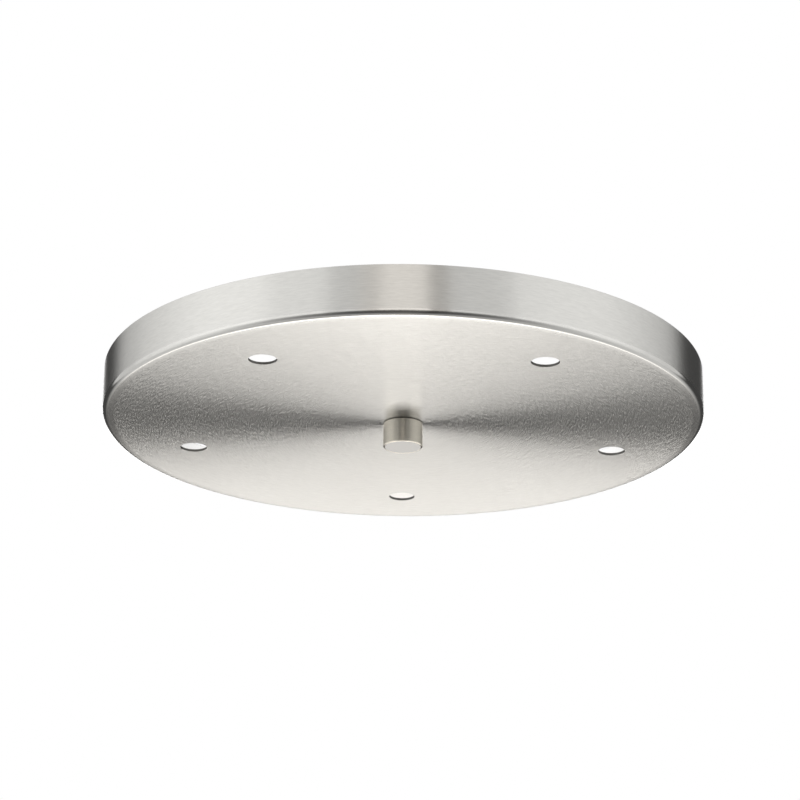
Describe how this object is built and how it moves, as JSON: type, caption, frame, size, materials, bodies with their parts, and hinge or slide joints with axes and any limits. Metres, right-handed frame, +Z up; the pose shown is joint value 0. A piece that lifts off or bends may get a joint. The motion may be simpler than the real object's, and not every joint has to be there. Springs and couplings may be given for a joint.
{
  "type": "light fixture ceiling canopy",
  "caption": "Round flat ceiling canopy with evenly spaced cord ports, held up by a centre knob that screws onto a hollow rod fixed in a crossbar.",
  "frame": {"origin": "on the rod's axis in the plane of the ceiling, which is the crossbar's top face and the pan's rim", "axes": "+Z up into the ceiling along the rod, +X along the crossbar, -Y towards the side that the picture shows"},
  "size_m": [0.3048, 0.3048, 0.0525],
  "materials": {
    "brushed_nickel": "brushed in circles",
    "zinc_plate": "bright zinc plate",
    "earth_green": "green passivated",
    "grey_fibre": "matt fibre"
  },
  "bodies": {
    "mounting": {"mounting_crossbar": "zinc_plate", "threaded_nipple": "zinc_plate", "upper_locknut": "zinc_plate", "lower_locknut": "zinc_plate", "lock_washer": "zinc_plate", "box_screw_left": "zinc_plate", "box_screw_right": "zinc_plate", "ground_screw": "earth_green", "ground_cup_washer": "zinc_plate"},
    "canopy": {"canopy_pan": "brushed_nickel", "knob_washer": "grey_fibre"},
    "knob": {"canopy_knob": "brushed_nickel"}
  },
  "joints": [
    {"name": "canopy_drop", "type": "slide", "parent": "mounting", "child": "canopy", "axis": [0, 0, -1], "range_m": [0, 0.00752]},
    {"name": "knob_turn", "type": "hinge", "parent": "canopy", "child": "knob", "pos_m": [0, 0, -0.0233], "axis": [0, 0, -1], "range_deg": [0, 2880]}
  ],
  "couplings": [
    {"joint": "knob_turn", "follows": "canopy_drop", "rad_per_m": 6679}
  ]
}
